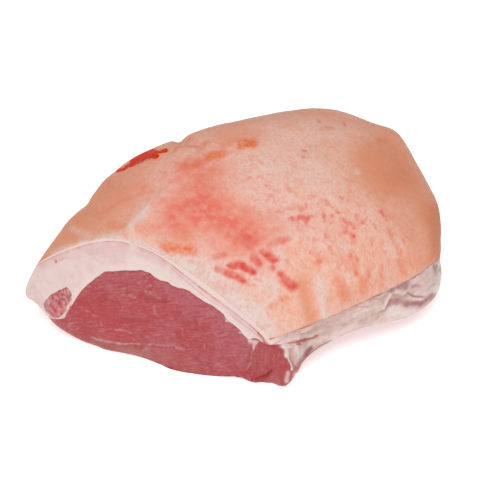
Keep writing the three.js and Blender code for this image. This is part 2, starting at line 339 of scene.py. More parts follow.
# Orange stains and the dark red scab at the left of the rind
ORANGE_MARKS = [
    (5.5, 1, 242, 144.5, 253, 143), (4.2, 0.8, 207, 157, 223, 153.5), (4, 0.4, 222, 147, 236, 140),
    (6, 0.5, 184, 166, 196, 161), (1.4, 0.6, 173, 152, 177, 147, 186, 145, 197, 143),
    (1.6, 0.3, 196, 143, 212, 141), (6, 0.8, 166, 247, 180, 248.5, 192, 251),
    (6, 0.3, 140, 226, 152, 230), (6, 0.35, 176, 232, 186, 238), (5, 0.4, 112, 224, 124, 227),
    (4, 0.5, 282, 299.5, 286, 298), (3, 0.3, 270, 306, 276, 304), (6, 0.5, 338, 282, 345, 297),
    (5, 0.5, 362, 280, 364, 292), (4, 0.4, 353, 255, 357, 274), (4, 0.4, 316, 262, 322, 260),
    (4, 0.3, 400, 262, 404, 272), (5, 0.3, 340, 255, 346, 262), (2.6, 0.4, 381, 266, 381.5, 286),
    (3, 0.3, 378, 140, 384, 142),
]
SCABS = [
    (1.7, 1, 118, 171, 125, 168), (1.8, 0.8, 126, 167, 133, 164.5),
    (4.2, 1, 133, 161.5, 143, 156, 153, 153), (2.6, 1, 150, 155, 156, 156),
    (1.6, 0.9, 152, 153, 160, 151.5, 166.5, 150),
]

# Soft shades of the rind, which fade all the way out from the stroke
BLUSH = [
    (22, 0.78, 176, 220, 205, 212, 228, 226, 246, 238), (13, 0.4, 240, 232, 250, 242),
    (22, 0.6, 196, 200, 210, 176), (20, 0.32, 206, 205, 232, 222), (16, 0.22, 228, 205, 262, 222),
    (12, 0.5, 184, 172, 202, 163), (14, 0.25, 150, 185, 176, 178), (10, 0.2, 225, 140, 262, 136),
    (8, 0.3, 206, 244, 232, 247), (8, 0.3, 164, 203, 175, 210), (6, 0.3, 100, 212, 120, 200, 142, 187),
    (6, 0.16, 215, 284, 236, 291), (7, 0.25, 262, 268, 270, 268), (16, 0.12, 300, 222, 350, 226),
    (14, 0.15, 270, 190, 282, 232),
]
# Tan is partly the rind's own colour and partly painted shade: darker on the slopes, the back edge and
# the right silhouette, which turn from the light, and in the grooves of folds
TAN_AND_SHADE = [
    (17, 0.8, 48, 262, 74, 224, 108, 185), (17, 0.7, 84, 240, 120, 205), (12, 0.5, 118, 190, 140, 185),
    (10, 0.5, 124, 172, 150, 158, 180, 143), (9, 0.5, 186, 132, 250, 118, 310, 110, 370, 125),
    (9, 0.3, 200, 138, 258, 131), (16, 0.3, 392, 222, 410, 240), (22, 0.8, 372, 165, 392, 182),
    (22, 0.8, 388, 140, 408, 175, 430, 215), (13, 1, 436, 215, 438, 262),
    (7, 0.75, 303, 284, 308, 300, 313, 322), (9, 0.3, 330, 300, 420, 262),
    (3, 0.5, 392, 234, 396, 243, 400, 252), (10, 0.35, 408, 225, 414, 250, 418, 265),
]
# A tan patch at the right back, partly painted shade where the rind curves away from the light
TAN_PATCH_AND_SHADE = [
    (17.5, 0.65, 364, 161, 373, 170, 383, 184), (14, 0.4, 385, 150, 398, 165, 410, 185),
]
SPOTTED = [
    (30, 1, 282, 205, 345, 215, 385, 232), (26, 0.8, 315, 250, 372, 268), (22, 0.7, 252, 172, 264, 200),
    (20, 0.7, 170, 172, 205, 160), (16, 0.6, 150, 210, 172, 240), (14, 0.6, 390, 250, 412, 262),
]
CREAM = [
    (4.5, 1, 56, 256, 85, 245, 108, 239.5, 125, 240), (5, 0.9, 120, 240, 140, 243, 160, 253, 190, 273),
    (14, 0.95, 186, 262, 215, 282, 243, 308, 266, 333), (10, 0.8, 215, 300, 236, 303, 262, 318),
    (11, 0.6, 262, 278, 272, 292), (6, 0.5, 277, 250, 282, 262), (5, 0.7, 319, 280, 322, 300, 325, 320),
    (14, 0.25, 330, 240, 345, 250), (30, 0.35, 270, 165, 318, 190), (16, 0.3, 262, 200, 292, 226),
    (7, 0.3, 166, 236, 186, 262), (4.5, 0.85, 132, 227, 141, 216, 148, 207),
    (4, 0.35, 156, 208, 160, 199, 166, 193), (2, 0.5, 396, 238, 401, 246), (3.5, 0.4, 74, 230, 94, 238),
    (2.5, 0.6, 356, 171, 357, 172),
]

# Shades of the front fat and of the strip on the right
FAT_PINK = [
    (5, 0.3, 60, 257, 90, 250, 122, 256), (2, 0.5, 215, 300, 240, 321), (6, 0.4, 330, 318, 352, 309),
    (5, 0.2, 280, 340, 300, 334), (8, 0.5, 412, 283, 432, 273),
]
FAT_RED = [
    (1, 0.9, 55, 260.5, 56.5, 262), (0.9, 0.3, 57, 262, 66, 258), (0.9, 0.35, 358, 307.5, 369, 307),
    (1, 0.35, 371, 300.5, 379, 299), (1, 0.95, 270, 339.5, 276, 336.5, 281, 334),
    (0.9, 0.8, 285, 345, 297, 343, 310, 340.5, 318, 337.5), (1.7, 0.85, 298, 345, 300.5, 343.5),
    (1.6, 0.85, 304, 341.5, 307, 340.5), (1.2, 0.7, 258, 333, 262, 338, 266, 343),
    (1, 0.6, 434.5, 262.5, 437, 267),
]
FLESH = [
    (3, 0.65, 391, 303.5, 401, 302, 410, 304.5), (3.8, 0.9, 405, 304, 420, 304, 433, 296.5),
    (2.4, 0.5, 388, 309, 392, 305), (1.3, 0.7, 409, 294, 415, 297, 424, 297),
    (3.2, 1, 293.5, 369, 301, 360, 310, 348.5),
]
PURPLE = [
    (2.2, 0.7, 389, 292, 394, 291), (4, 0.85, 399, 286.5, 407, 286), (2, 0.6, 414, 287, 419, 286.5),
    (2.2, 0.4, 399, 298, 407, 297), (2.5, 0.4, 300, 347, 305, 345),
]

# Fat, membranes and silverskin on the lean, and its paler and darker places
WHITE = [
    (1.5, 0.8, 76.5, 292, 71.5, 302, 63, 317), (2.4, 0.75, 250, 341, 256, 342.5),
    (1.5, 0.7, 254, 343, 253.4, 348.5), (1.1, 0.7, 226, 320.5, 231, 321.5),
    (1.1, 0.6, 240, 332.5, 245, 333), (2.8, 1, 283, 346, 289, 346.5), (2.8, 1, 285.5, 348, 287, 355),
    (0.9, 0.9, 287.3, 357, 289.5, 361.5, 290.3, 369), (1.6, 0.55, 296, 346, 298, 356),
    (2.1, 0.6, 286.4, 381, 287.6, 373), (1.1, 0.9, 392, 295, 388, 303.5, 385, 309),
    (4.2, 0.7, 392, 312, 402, 311, 411, 310.5), (1.1, 0.8, 413, 299, 424, 300),
]
SILVER = [
    (4, 0.8, 290, 349, 292, 358), (3, 0.7, 298, 349, 296, 356),
]
PALE_LINES = [
    (0.9, 0.85, 92, 337.5, 99, 340.4, 110, 342.3, 122, 344, 139, 344.6),
    (0.8, 0.65, 139, 344.6, 151, 345, 161.5, 345.8, 174.5, 345.5), (1.2, 0.4, 176, 347, 184, 349),
    (0.8, 0.6, 115, 330.1, 127, 330.1), (1.2, 0.4, 127, 330.5, 131, 332.5),
    (0.8, 0.5, 121, 295.3, 128, 295.3), (1.1, 0.6, 128, 295.5, 135, 297.7),
    (0.9, 0.4, 121.5, 288.3, 125, 289), (0.7, 0.5, 145, 291, 154, 295, 162, 299.5),
    (0.9, 0.6, 145, 282, 146, 283), (0.9, 0.6, 149.5, 285.5, 151, 286),
    (1.3, 0.35, 153.8, 306, 154.6, 314), (0.8, 0.5, 86, 310, 90, 312.5), (1, 0.5, 100.5, 323, 102, 325),
    (0.8, 0.4, 93, 315.5, 97, 316), (0.9, 0.35, 180, 328, 183, 330), (0.8, 0.4, 204.3, 344, 204.6, 349),
    (0.8, 0.4, 219.5, 345, 220.5, 347), (0.8, 0.4, 252, 350, 251, 359, 250, 365, 246, 370),
]
UNDER = [
    (4.5, 0.9, 94, 343, 110, 347, 130, 351, 148, 354), (6, 0.4, 150, 355, 175, 360, 195, 368),
]
MAUVE = [
    (12, 0.95, 166, 288, 190, 301, 215, 315, 240, 336), (6, 0.7, 100, 277, 145, 276),
    (6, 0.5, 86, 290, 96, 282), (11, 0.6, 225, 348, 240, 360), (9, 0.5, 168, 350, 215, 362),
]
RED = [
    (16, 1, 84, 308, 104, 318, 122, 330), (11, 0.7, 120, 306, 168, 312), (9, 0.35, 150, 330, 200, 340),
    (9, 0.6, 262, 352, 276, 366),
]
DARK = [
    (1.7, 0.9, 140, 296.4, 150, 298.2, 158.5, 299.6, 166, 300), (3.2, 0.8, 149, 300, 156, 301),
    (3.6, 0.7, 106, 314.5, 117, 319, 132, 320.5, 146, 323), (8, 0.45, 92, 300, 103, 310),
    (2, 0.6, 196, 358, 201, 364), (1.3, 0.4, 205, 358, 213, 371), (1.2, 0.35, 210, 360, 217, 372),
    (6, 0.3, 197, 345, 211, 353), (1, 1, 257, 379, 266.5, 375, 271, 371), (2.6, 0.9, 279, 375, 282, 378),
    (3.5, 0.55, 271, 357, 273, 368), (4, 0.5, 278, 365, 283, 372),
    (1.3, 0.6, 86, 338.5, 100, 344, 119, 350), (1.6, 0.6, 270.3, 351, 271.9, 366.5),
]

# Folds of the rind, and of the sides below it: the same, with a height in millimetres
RIND_FOLDS = [
    (7, 1.2, 130, 230, 141, 216, 149, 206, 160, 198), (8, -1, 112, 226, 130, 206, 147, 193),
    (4.5, -2.8, 178, 139, 187, 140.5, 201, 143.5), (6, -1.1, 303, 284, 308, 300, 313, 322),
    (4.5, 0.7, 319, 280, 322, 300, 325, 320), (3, -0.7, 391, 233, 396, 243, 400, 252),
    (3, 0.5, 397, 238, 402, 247), (2.5, -0.35, 284, 245, 285, 262),
    (2.4, -0.6, 106, 207, 125, 197, 140, 190.5), (8, 0.5, 336, 300, 340, 312),
    (8, -1.3, 84, 203, 97, 211), (9, 0.7, 68, 222, 84, 230), (11, 1, 104, 182, 118, 190),
]
SIDE_FOLDS = [
    (3.6, -1.3, 290, 350, 292, 359), (3, 0.8, 309, 349, 294, 369),
    (1.8, 0.8, 284, 346, 287, 357, 290, 368), (1.4, -0.9, 270, 339.5, 281, 334),
    (1.4, -1, 285, 345, 297, 343, 310, 340.5, 318, 337.5), (3, 0.6, 292, 338, 306, 333),
    (1.6, 0.9, 392, 295, 388, 304, 385, 310), (2.2, -0.8, 396, 297, 392, 306),
    (3.6, -0.9, 401, 302, 410, 304.5, 420, 304, 433, 297), (4, 0.7, 394, 312, 410, 311),
    (6, 1, 420, 290, 430, 280), (3, 0.6, 399, 292, 401, 293), (2.4, -2, 436, 263, 439, 269),
    (1.5, -1.4, 257, 379, 266.5, 375, 271, 371), (2, -0.5, 253, 349, 251, 359, 248, 369, 240, 373),
    (1, -0.5, 295.6, 337.4, 310, 333.6), (1.6, -0.5, 270.3, 351, 271.9, 366.5),
    (2.5, 0.7, 262, 341, 270, 344.5, 280, 344), (1.6, -0.7, 99, 340.4, 122, 344, 151, 345, 174, 345.5),
    (4, 0.8, 105, 347, 140, 352), (1.8, -0.4, 196, 358, 203, 369), (1.6, -0.3, 205, 358, 213, 371),
    (2.5, -0.8, 280, 376, 283, 380),
]

# Which table of strokes makes which mark: soft ones, and ones with an edge and how many pixels
# this shifts at most
RIND_SOFT = {"blush": BLUSH, "tan": TAN_AND_SHADE, "spots": SPOTTED, "cream": CREAM}
RIND_STROKES = {
    "patch": (TAN_PATCH_AND_SHADE, 3), "mark": (RED_MARKS, 1), "orange": (ORANGE_MARKS, 1.6), "scab": (SCABS, 1),
}
CUT_STROKES = {
    "flesh": (FLESH, 1), "purple": (PURPLE, 1.5), "white": (WHITE, 1), "silver": (SILVER, 1),
}
FAT_SOFT = {"pink": FAT_PINK}
FAT_STROKES = {"crack": (FAT_RED, 0.5), **CUT_STROKES}
LEAN_SOFT = {"under": UNDER, "mauve": MAUVE, "red": RED}
LEAN_STROKES = {"streak": (PALE_LINES, 0.5), "dark": (DARK, 1), **CUT_STROKES}
CUT_COLOURS = {"purple": "purple", "flesh": "flesh", "silver": "silver", "white": "fat_white"}

COLOURS = {
    "peach": (0.80, 0.425, 0.31),
    "pale": (0.81, 0.505, 0.415),
    "tan": (0.71, 0.275, 0.15),
    # painted shade, deeper than tan, for the silhouettes
    "tan_shade": (0.56, 0.20, 0.11),
    "cream": (0.73, 0.60, 0.56),
    "blush": (0.75, 0.17, 0.125),
    "mark": (0.67, 0.075, 0.055),
    "orange": (0.74, 0.165, 0.055),
    "scab": (0.72, 0.035, 0.0),
    "scab_dark": (0.56, 0.012, 0.0),
    "pore": (0.62, 0.22, 0.15),
    "rind_cut": (0.755, 0.59, 0.545),
    "fat": (0.715, 0.56, 0.53),
    "fat_pink": (0.65, 0.41, 0.395),
    "fat_white": (0.755, 0.62, 0.585),
    "fat_yellow": (0.655, 0.495, 0.40),
    "fat_shade": (0.55, 0.36, 0.33),
    "seam": (0.60, 0.22, 0.20),
    "crack": (0.52, 0.075, 0.055),
    "brown": (0.40, 0.14, 0.09),
    # painted shade for the lower edge of the strip's fat
    "olive_shade": (0.27, 0.20, 0.12),
    "purple": (0.36, 0.19, 0.21),
    "flesh": (0.37, 0.115, 0.125),
    "lean": (0.38, 0.052, 0.058),
    "lean_deep": (0.355, 0.032, 0.036),
    "lean_red": (0.435, 0.04, 0.05),
    "lean_pale": (0.52, 0.165, 0.175),
    "lean_mauve": (0.395, 0.085, 0.105),
    "lean_under": (0.38, 0.135, 0.115),
    "silver": (0.56, 0.36, 0.34),
}


def smoothstep(x, low, high):
    t = np.clip((x - low) / (high - low), 0, 1)
    return t * t * (3 - 2 * t)


def between(x, start, end):
    """1 between two places, with a smooth rise over the first pair and a fall over the second."""
    return smoothstep(x, *start) * (1 - smoothstep(x, *end))


def bell(x, reach):
    return np.exp(-((x / reach) ** 2))


def unit(vectors):
    return vectors / np.linalg.norm(vectors, axis=-1, keepdims=True)


def hump(t, at, roundness, softness=0.0):
    """A rounded peak over 0 to 1: 1 at the place of the peak, 0 at both ends."""
    far = np.where(t < at, (at - t) / at, (t - at) / (1 - at))
    reach = (np.hypot(far, softness) - softness) / (np.hypot(1, softness) - softness)
    return (1 - np.clip(reach, 0, 1) ** roundness) ** (1 / roundness)


def swell_along(v):
    """Rises gently from the front and falls round the back."""
    rise = np.sin(np.pi / 2 * np.clip(v / DOME_ALONG, 0, 1))
    reach = np.clip((v - DOME_ALONG) / (1 - DOME_ALONG), 0, 1)
    return np.where(v < DOME_ALONG, rise, (1 - reach ** ROUNDNESS_BACK) ** (1 / ROUNDNESS_BACK))


def side_size(name, s):
    """A smooth curve through one size of the stations, closed round the edge."""
    column = SIDE_NAMES.index(name)
    place = np.concatenate([SIDES[-2:, 0] - 4, SIDES[:, 0], SIDES[:3, 0] + 4])
    size = np.concatenate([SIDES[-2:, column], SIDES[:, column], SIDES[:3, column]])
    slope = np.zeros(len(place))
    slope[1:-1] = (size[2:] - size[:-2]) / (place[2:] - place[:-2])
    s = np.mod(s, 4.0)
    i = np.searchsorted(place, s, side="right") - 1
    span = place[i + 1] - place[i]
    t = (s - place[i]) / span
    ease = size[i] + (size[i + 1] - size[i]) * t * t * (3 - 2 * t)
    return ease + span * (t * (1 - t) ** 2 * slope[i] - t * t * (1 - t) * slope[i + 1])


NOISE_TURNS = np.random.default_rng(5).permutation(256)
NOISE_SLOPES = unit(np.random.default_rng(6).normal(size=(256, 3)))


def noise(points, size, seed):
    """Smooth noise of about -1 to 1, with bumps of a given size, or of one size for each axis."""
    place = points / np.array(size)
    cell = np.floor(place).astype(int)
    part = place - cell
    ease = part ** 3 * (part * (part * 6 - 15) + 10)
    total = 0
    for corner in itertools.product((0, 1), repeat=3):
        x, y, z = np.moveaxis(cell + corner, -1, 0)
        turn = NOISE_TURNS[(x + SEED_STEP * seed) & 255]
        turn = NOISE_TURNS[(turn + y) & 255]
        turn = NOISE_TURNS[(turn + z) & 255]
        weight = np.prod(np.where(corner, ease, 1 - ease), axis=-1)
        total = total + weight * (NOISE_SLOPES[turn] * (part - corner)).sum(-1)
    return NOISE_SCALE * total


def waves(points, layers):
    """The height of several layers of noise together."""
    return sum(height * noise(points, size, seed) for height, size, seed in layers)


def direction(azimuth, elevation):
    """The way from the object to a camera or a light, azimuth 0 being the front."""
    a, e = np.radians(azimuth), np.radians(elevation)
    return Vector((np.sin(a) * np.cos(e), -np.cos(a) * np.cos(e), np.sin(e)))


CAMERA_WAY = np.array(direction(CAMERA_AZIMUTH, CAMERA_ELEVATION))
CAMERA_EYE = (np.array(LOOK_AT) + CAMERA_WAY * CAMERA_DISTANCE) / MM + MIDDLE
CAMERA_RIGHT = unit(np.cross((0, 0, 1), CAMERA_WAY))
CAMERA_UP = np.cross(CAMERA_WAY, CAMERA_RIGHT)


def in_photo(points):
    """Where points come out in the photo, in pixels."""
    way = points - CAMERA_EYE
    scale = PICTURE * LENS / SENSOR / -(way @ CAMERA_WAY)
    across, up = scale * (way @ CAMERA_RIGHT), scale * (way @ CAMERA_UP)
    return np.stack([PICTURE / 2 + across, PICTURE / 2 - up], -1)


def faces_photo(points, normals):
    """How far points face the photo's camera: 1 well in view, 0 where they turn away."""
    return smoothstep((normals * unit(CAMERA_EYE - points)).sum(-1), *FACING)


def sampled(loop):
    """A function of the place round the edge, worked out at many places and interpolated between."""
    places = np.linspace(0, 4, SAMPLES + 1)
    values = loop(places)
    columns = values.reshape(len(places), -1).T

    def at(s):
        found = np.stack([np.interp(np.mod(s, 4), places, column) for column in columns], -1)
        return found if values.ndim > 1 else found[..., 0]

    return at


def bowed_edge(s):
    """The four bowed sides of the rind, with sharp corners."""
    s = np.mod(s, 4.0)
    index = np.minimum(s.astype(int), 3)
    start, end = CORNERS[index], CORNERS[(index + 1) % 4]
    t = (s - index)[..., None]
    out = unit(np.stack([end[..., 1] - start[..., 1], start[..., 0] - end[..., 0], 0 * s], -1))
    return start + (end - start) * t + out * BOWS[index][..., None] * 4 * t * (1 - t)


def peaked_edge(s):
    """The edge of the rind: rounded at the back corners, peaked along the cut."""
    s = np.mod(s, 4.0)
    reach = CORNER_ROUNDING * smoothstep(np.minimum(s - 1, 4 - s), 0, ROUNDING_FADE)
    total = sum(w * bowed_edge(s + share * reach) for share, w in zip(EVENING, EVENING_WEIGHTS))
    edge = total / EVENING_WEIGHTS.sum()
    rise = PEAK_HEIGHT * hump(np.clip(s, 0, 1), PEAK_AT, PEAK_ROUNDNESS, PEAK_SOFTNESS)
    peak = np.where(s <= 1, rise, 0)
    return edge + peak[..., None] * np.array((0, CUT_SLOPE, 1))


rind_edge = sampled(peaked_edge)


def way_out(s):
    """The level way out of the joint at a place on its edge, evened out round the corners."""
    total = 0
    for share, weight in zip(EVENING, EVENING_WEIGHTS):
        at = s + share * DIRECTION_REACH
        along = rind_edge(at + DIRECTION_STEP) - rind_edge(at - DIRECTION_STEP)
        total = total + weight * unit(np.stack([along[..., 1], -along[..., 0], 0 * at], -1))
    return unit(total)


outward = sampled(way_out)


def foot_height(s):
    return np.maximum(0, side_size("foot", s))


def side(s, share):
    """Points on the side of the joint: share 0 is the rind's edge, 1 the foot."""
    edge = rind_edge(s)
    offset = side_size("lean", s) * share + side_size("belly", s) * np.sin(np.pi * share)
    offset = offset - side_size("roll", s) * share ** ROLL_SHARPNESS
    notch = bell(s - NOTCH_AT, NOTCH_REACH) * bell(share - NOTCH_SHARE, NOTCH_DROP)
    offset = offset - NOTCH_DEPTH * notch
    point = edge + outward(s) * offset[..., None]
    drop = 1 - (1 - share) ** SIDE_STEEPNESS
    point[..., 2] = edge[..., 2] + (foot_height(s) - edge[..., 2]) * drop
    return point


def share_at(s, height):
    """The share of the side at a height."""
    edge = rind_edge(s)[..., 2]
    return 1 - (1 - (edge - height) / (edge - foot_height(s))) ** (1 / SIDE_STEEPNESS)


def shown_border(s):
    """The height at which the side crosses the border that the photo shows on the cut."""
    wall = side(s[:, None] + 0 * BORDER_SHARES, BORDER_SHARES + 0 * s[:, None])
    x, y = np.moveaxis(in_photo(wall), -1, 0)
    below = y - np.interp(x, *np.array(LEAN_BORDER).T)
    after = np.maximum(1, (below > 0).argmax(axis=1))
    rows = np.arange(len(s))
    last, first = below[rows, after - 1], below[rows, after]
    part = np.clip(last / np.where(last == first, 1, last - first), 0, 1)
    return wall[rows, after - 1, 2] * (1 - part) + wall[rows, after, 2] * part


def ragged_border(s):
    """The height of the border between fat and lean, uneven and as shown where the photo shows it."""
    edge = rind_edge(s)
    fitted = side_size("meat", s) + SWELL_HEIGHT * bell(s - SWELL_AT, SWELL_REACH)
    shown = between(s, BORDER_FROM, BORDER_TO)
    uneven = waves(edge, BORDER_WAVES) - shown * waves(edge, SHOWN_WAVES)
    height = fitted + (shown_border(s) - fitted) * shown + uneven
    return np.maximum(height, foot_height(s) + LEAST_LEAN)


lean_height = sampled(ragged_border)


def meat_share(s, above=0.0):
    """The share of the side at which it comes down to the lean, or to a height above that."""
    return share_at(s, lean_height(s) + above)


def stretched(loop, us, vs):
    """A grid of points stretched inside a closed loop of four sides."""
    u, v = us[None, :, None], vs[:, None, None]
    a, b, c, d = loop(np.array((0.0, 1.0, 2.0, 3.0)))
    grid = (1 - v) * loop(us) + v * loop(3 - us)
    grid = grid + (1 - u) * loop(4 - vs)[:, None] + u * loop(1 + vs)[:, None]
    return grid - (1 - u) * (1 - v) * a - u * (1 - v) * b - u * v * c - (1 - u) * v * d


def dome(us, vs, inset=0.0):
    """The share of the dome's height over a grid, with its sides and back drawn in by an inset."""
    across = np.clip((us - inset) / (1 - 2 * inset), 0, 1)
    return hump(across, DOME_ACROSS, ROUNDNESS_ACROSS) * swell_along(vs / (1 - inset))[:, None]


def rind(us, vs):
    grid = stretched(rind_edge, us, vs)
    grid[..., 2] += DOME_HEIGHT * dome(us, vs)
    for across, along, wide, long, height in SWELLINGS:
        grid[..., 2] += height * bell(us - across, wide) * bell(vs - along, long)[:, None]
    return grid


def lean_top(us, vs):
    grid = stretched(lambda s: side(s, meat_share(s)), us, vs)
    grid[..., 2] += LEAN_DOME_HEIGHT * dome(us, vs, LEAN_DOME_INSET)
    return grid


def underside(us, vs):
    grid = stretched(lambda s: side(s, np.ones_like(s)) - FOOT_WIDTH * outward(s), us, vs)
    inset = np.minimum(np.minimum(us, 1 - us), np.minimum(vs, 1 - vs)[:, None])
    grid[..., 2] = np.maximum(0, grid[..., 2]) * (1 - smoothstep(inset, 0, FLAT_INSET))
    return grid


def line_distance(places, line):
    corners = np.reshape(line, (-1, 2)).astype(float)
    far = np.full(len(places), np.inf)
    for start, end in zip(corners, corners[1:]):
        along = end - start
        t = np.clip((places - start) @ along / (along @ along), 0, 1)
        far = np.minimum(far, np.linalg.norm(places - start - t[:, None] * along, axis=1))
    return far


def stroke_field(points, strokes, most):
    """How strongly points lie in any of some strokes, whose edges shift by some pixels at most."""
    places = in_photo(points)
    shift = np.stack([waves(points, layers) for layers in STROKE_SHIFTS], 1)
    field = np.zeros(len(points))
    for half_width, strength, *line in strokes:
        far = line_distance(places + min(most, STROKE_WARP * half_width) * shift, line)
        field = np.maximum(field, strength * (1 - smoothstep(far, *STROKE_FADE * half_width)))
    return np.clip(field * (1 + waves(points, STROKE_WAVES)), 0, 1)


def soft_field(points, strokes):
    """How strongly points lie in or near some strokes, which fade all the way out."""
    places = in_photo(points)
    shift = np.stack([waves(points, layers) for layers in SOFT_SHIFTS], 1)
    left = np.ones(len(points))
    for half_width, strength, *line in strokes:
        far = line_distance(places + min(SOFT_WARP_MOST, SOFT_WARP * half_width) * shift, line)
        left *= 1 - strength * bell(far, half_width)
    return 1 - left


def drawn(points, shown, soft, strokes):
    """The fields of some tables of strokes at some points, as far as these show."""
    fields = {name: soft_field(points, table) for name, table in soft.items()}
    for name, (table, most) in strokes.items():
        fields[name] = stroke_field(points, table, most)
    return {name: shown * field for name, field in fields.items()}


def fold_heights(points, folds):
    places = in_photo(points)
    return sum(rise * bell(line_distance(places, line), wide) for wide, rise, *line in folds)


class Body:
    """Points and faces of one closed piece, with some values kept at each point."""

    def __init__(self):
        self.count = 0
        self.blocks = []
        self.faces = []
        self.shown = []
        self.fields = {}

    def add(self, points, **values):
        flat = points.reshape(-1, 3)
        named = {name: np.broadcast_to(v, points.shape[:-1]).ravel() for name, v in values.items()}
        self.blocks.append((flat, named))
        self.count += len(flat)
        return np.arange(self.count - len(flat), self.count).reshape(points.shape[:-1])

    def add_faces(self, *corners, flip=False, hidden=False):
        faces = np.stack([np.ravel(c) for c in corners], 1)
        self.faces.append(faces[:, ::-1] if flip else faces)
        if not hidden:
            self.shown.append(self.faces[-1])

    def fill(self, grid, **kind):
        self.add_faces(grid[:-1, :-1], grid[:-1, 1:], grid[1:, 1:], grid[1:, :-1], **kind)

    def join(self, upper, lower, **kind):
        self.add_faces(upper, lower, np.roll(lower, -1), np.roll(upper, -1), **kind)

    def stitch(self, fine, coarse, flip=False):
        """Joins a loop to one with fewer points, which lies below it unless flipped."""
        ratio = len(fine) // len(coarse)
        start = np.arange(len(coarse)) * ratio
        after = np.roll(coarse, -1)
        for step in range(ratio):
            near, far = fine[start + step], np.roll(fine, -1)[start + step]
            self.add_faces(near, coarse if step < ratio // 2 else after, far, flip=flip, hidden=True)
        self.add_faces(fine[start + ratio // 2], coarse, after, flip=flip, hidden=True)

    def mark(self, **fields):
        self.fields.update(fields)

    def points(self):
        return np.concatenate([flat for flat, _ in self.blocks])

    def value(self, name):
        if name in self.fields:
            return self.fields[name]
        return np.concatenate([named.get(name, np.zeros(len(flat))) for flat, named in self.blocks])

    def names(self):
        return sorted({name for _, named in self.blocks for name in named} | set(self.fields))


def summed(count, index, rows):
    return np.stack([np.bincount(index, rows[:, axis], count) for axis in range(3)], 1)


def point_normals(points, faces):
    total = np.zeros_like(points)
    for block in faces:
        a, b, c, d = (points[block[:, k]] for k in (0, 1, 2, -1))
        normal = np.cross(c - a, d - b) if block.shape[1] == 4 else np.cross(b - a, c - a)
        for column in block.T:
            total += summed(len(points), column, normal)
    return total / np.maximum(np.linalg.norm(total, axis=1, keepdims=True), 1e-12)


def softened(points, faces, weight, times):
    """Draws points towards the mean of their neighbours, each by its own weight."""
    ends = [np.stack([block[:, k], np.roll(block, -1, 1)[:, k]], 1)
            for block in faces for k in range(block.shape[1])]
    first, second = np.concatenate(ends).T
    near = np.bincount(first, minlength=len(points)) + np.bincount(second, minlength=len(points))
    for _ in range(times):
        total = summed(len(points), first, points[second])
        total += summed(len(points), second, points[first])
        points = points + weight[:, None] * (total / near[:, None] - points)
    return points


def spread(cells):
    """Grid places over 0 to 1, closer together towards the edges."""
    even = np.linspace(0, 1, cells + 1)
    return even + CROWDING * ((1 - np.cos(np.pi * even)) / 2 - even)


def loop_places(us, vs):
    return np.concatenate([us[:-1], 1 + vs[:-1], 3 - us[:0:-1], 4 - vs[:0:-1]])


def grid_loop(grid):
    """The points on the edge of a grid, in the order of loop_places."""
    return np.concatenate([grid[0, :-1], grid[:-1, -1], grid[-1, :0:-1], grid[:0:-1, 0]])


def edge_cells(us, vs):
    """For the points of a grid: how many cells away its edge is, and the place on the edge nearest."""
    i, j = np.meshgrid(np.arange(len(us)), np.arange(len(vs)))
    far = np.stack([j, len(us) - 1 - i, len(vs) - 1 - j, i])
    places = np.stack([us[i], 1 + vs[j], 3 - us[i], 4 - vs[j]])
    return far.min(axis=0), np.take_along_axis(places, far.argmin(axis=0)[None], 0)[0]


def make_piece(name, body, points, material, nodes):
    mesh = bpy.data.meshes.new(name)
    faces = [face for block in body.faces for face in block.tolist()]
    mesh.from_pydata(((points - MIDDLE) * MM).tolist(), [], faces)
    mesh.polygons.foreach_set("use_smooth", np.ones(len(faces), bool))
    for value in body.names():
        attribute = mesh.attributes.new(value, "FLOAT", "POINT")
        attribute.data.foreach_set("value", body.value(value).astype(np.float32))
    mesh.materials.append(material)
    piece = bpy.data.objects.new(name, mesh)
    bpy.context.scene.collection.objects.link(piece)
    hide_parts(*nodes)
    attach(piece, "root")


def carried(us, vs, s, shift):
    """How far the points of a grid move when its edge moves by given vectors at places round it."""
    moved = [lambda q, k=k: np.interp(np.mod(q, 4), s, shift[:, k], period=4) for k in range(3)]
    return stretched(lambda q: np.stack([m(q) for m in moved], -1), us, vs).reshape(-1, 3)


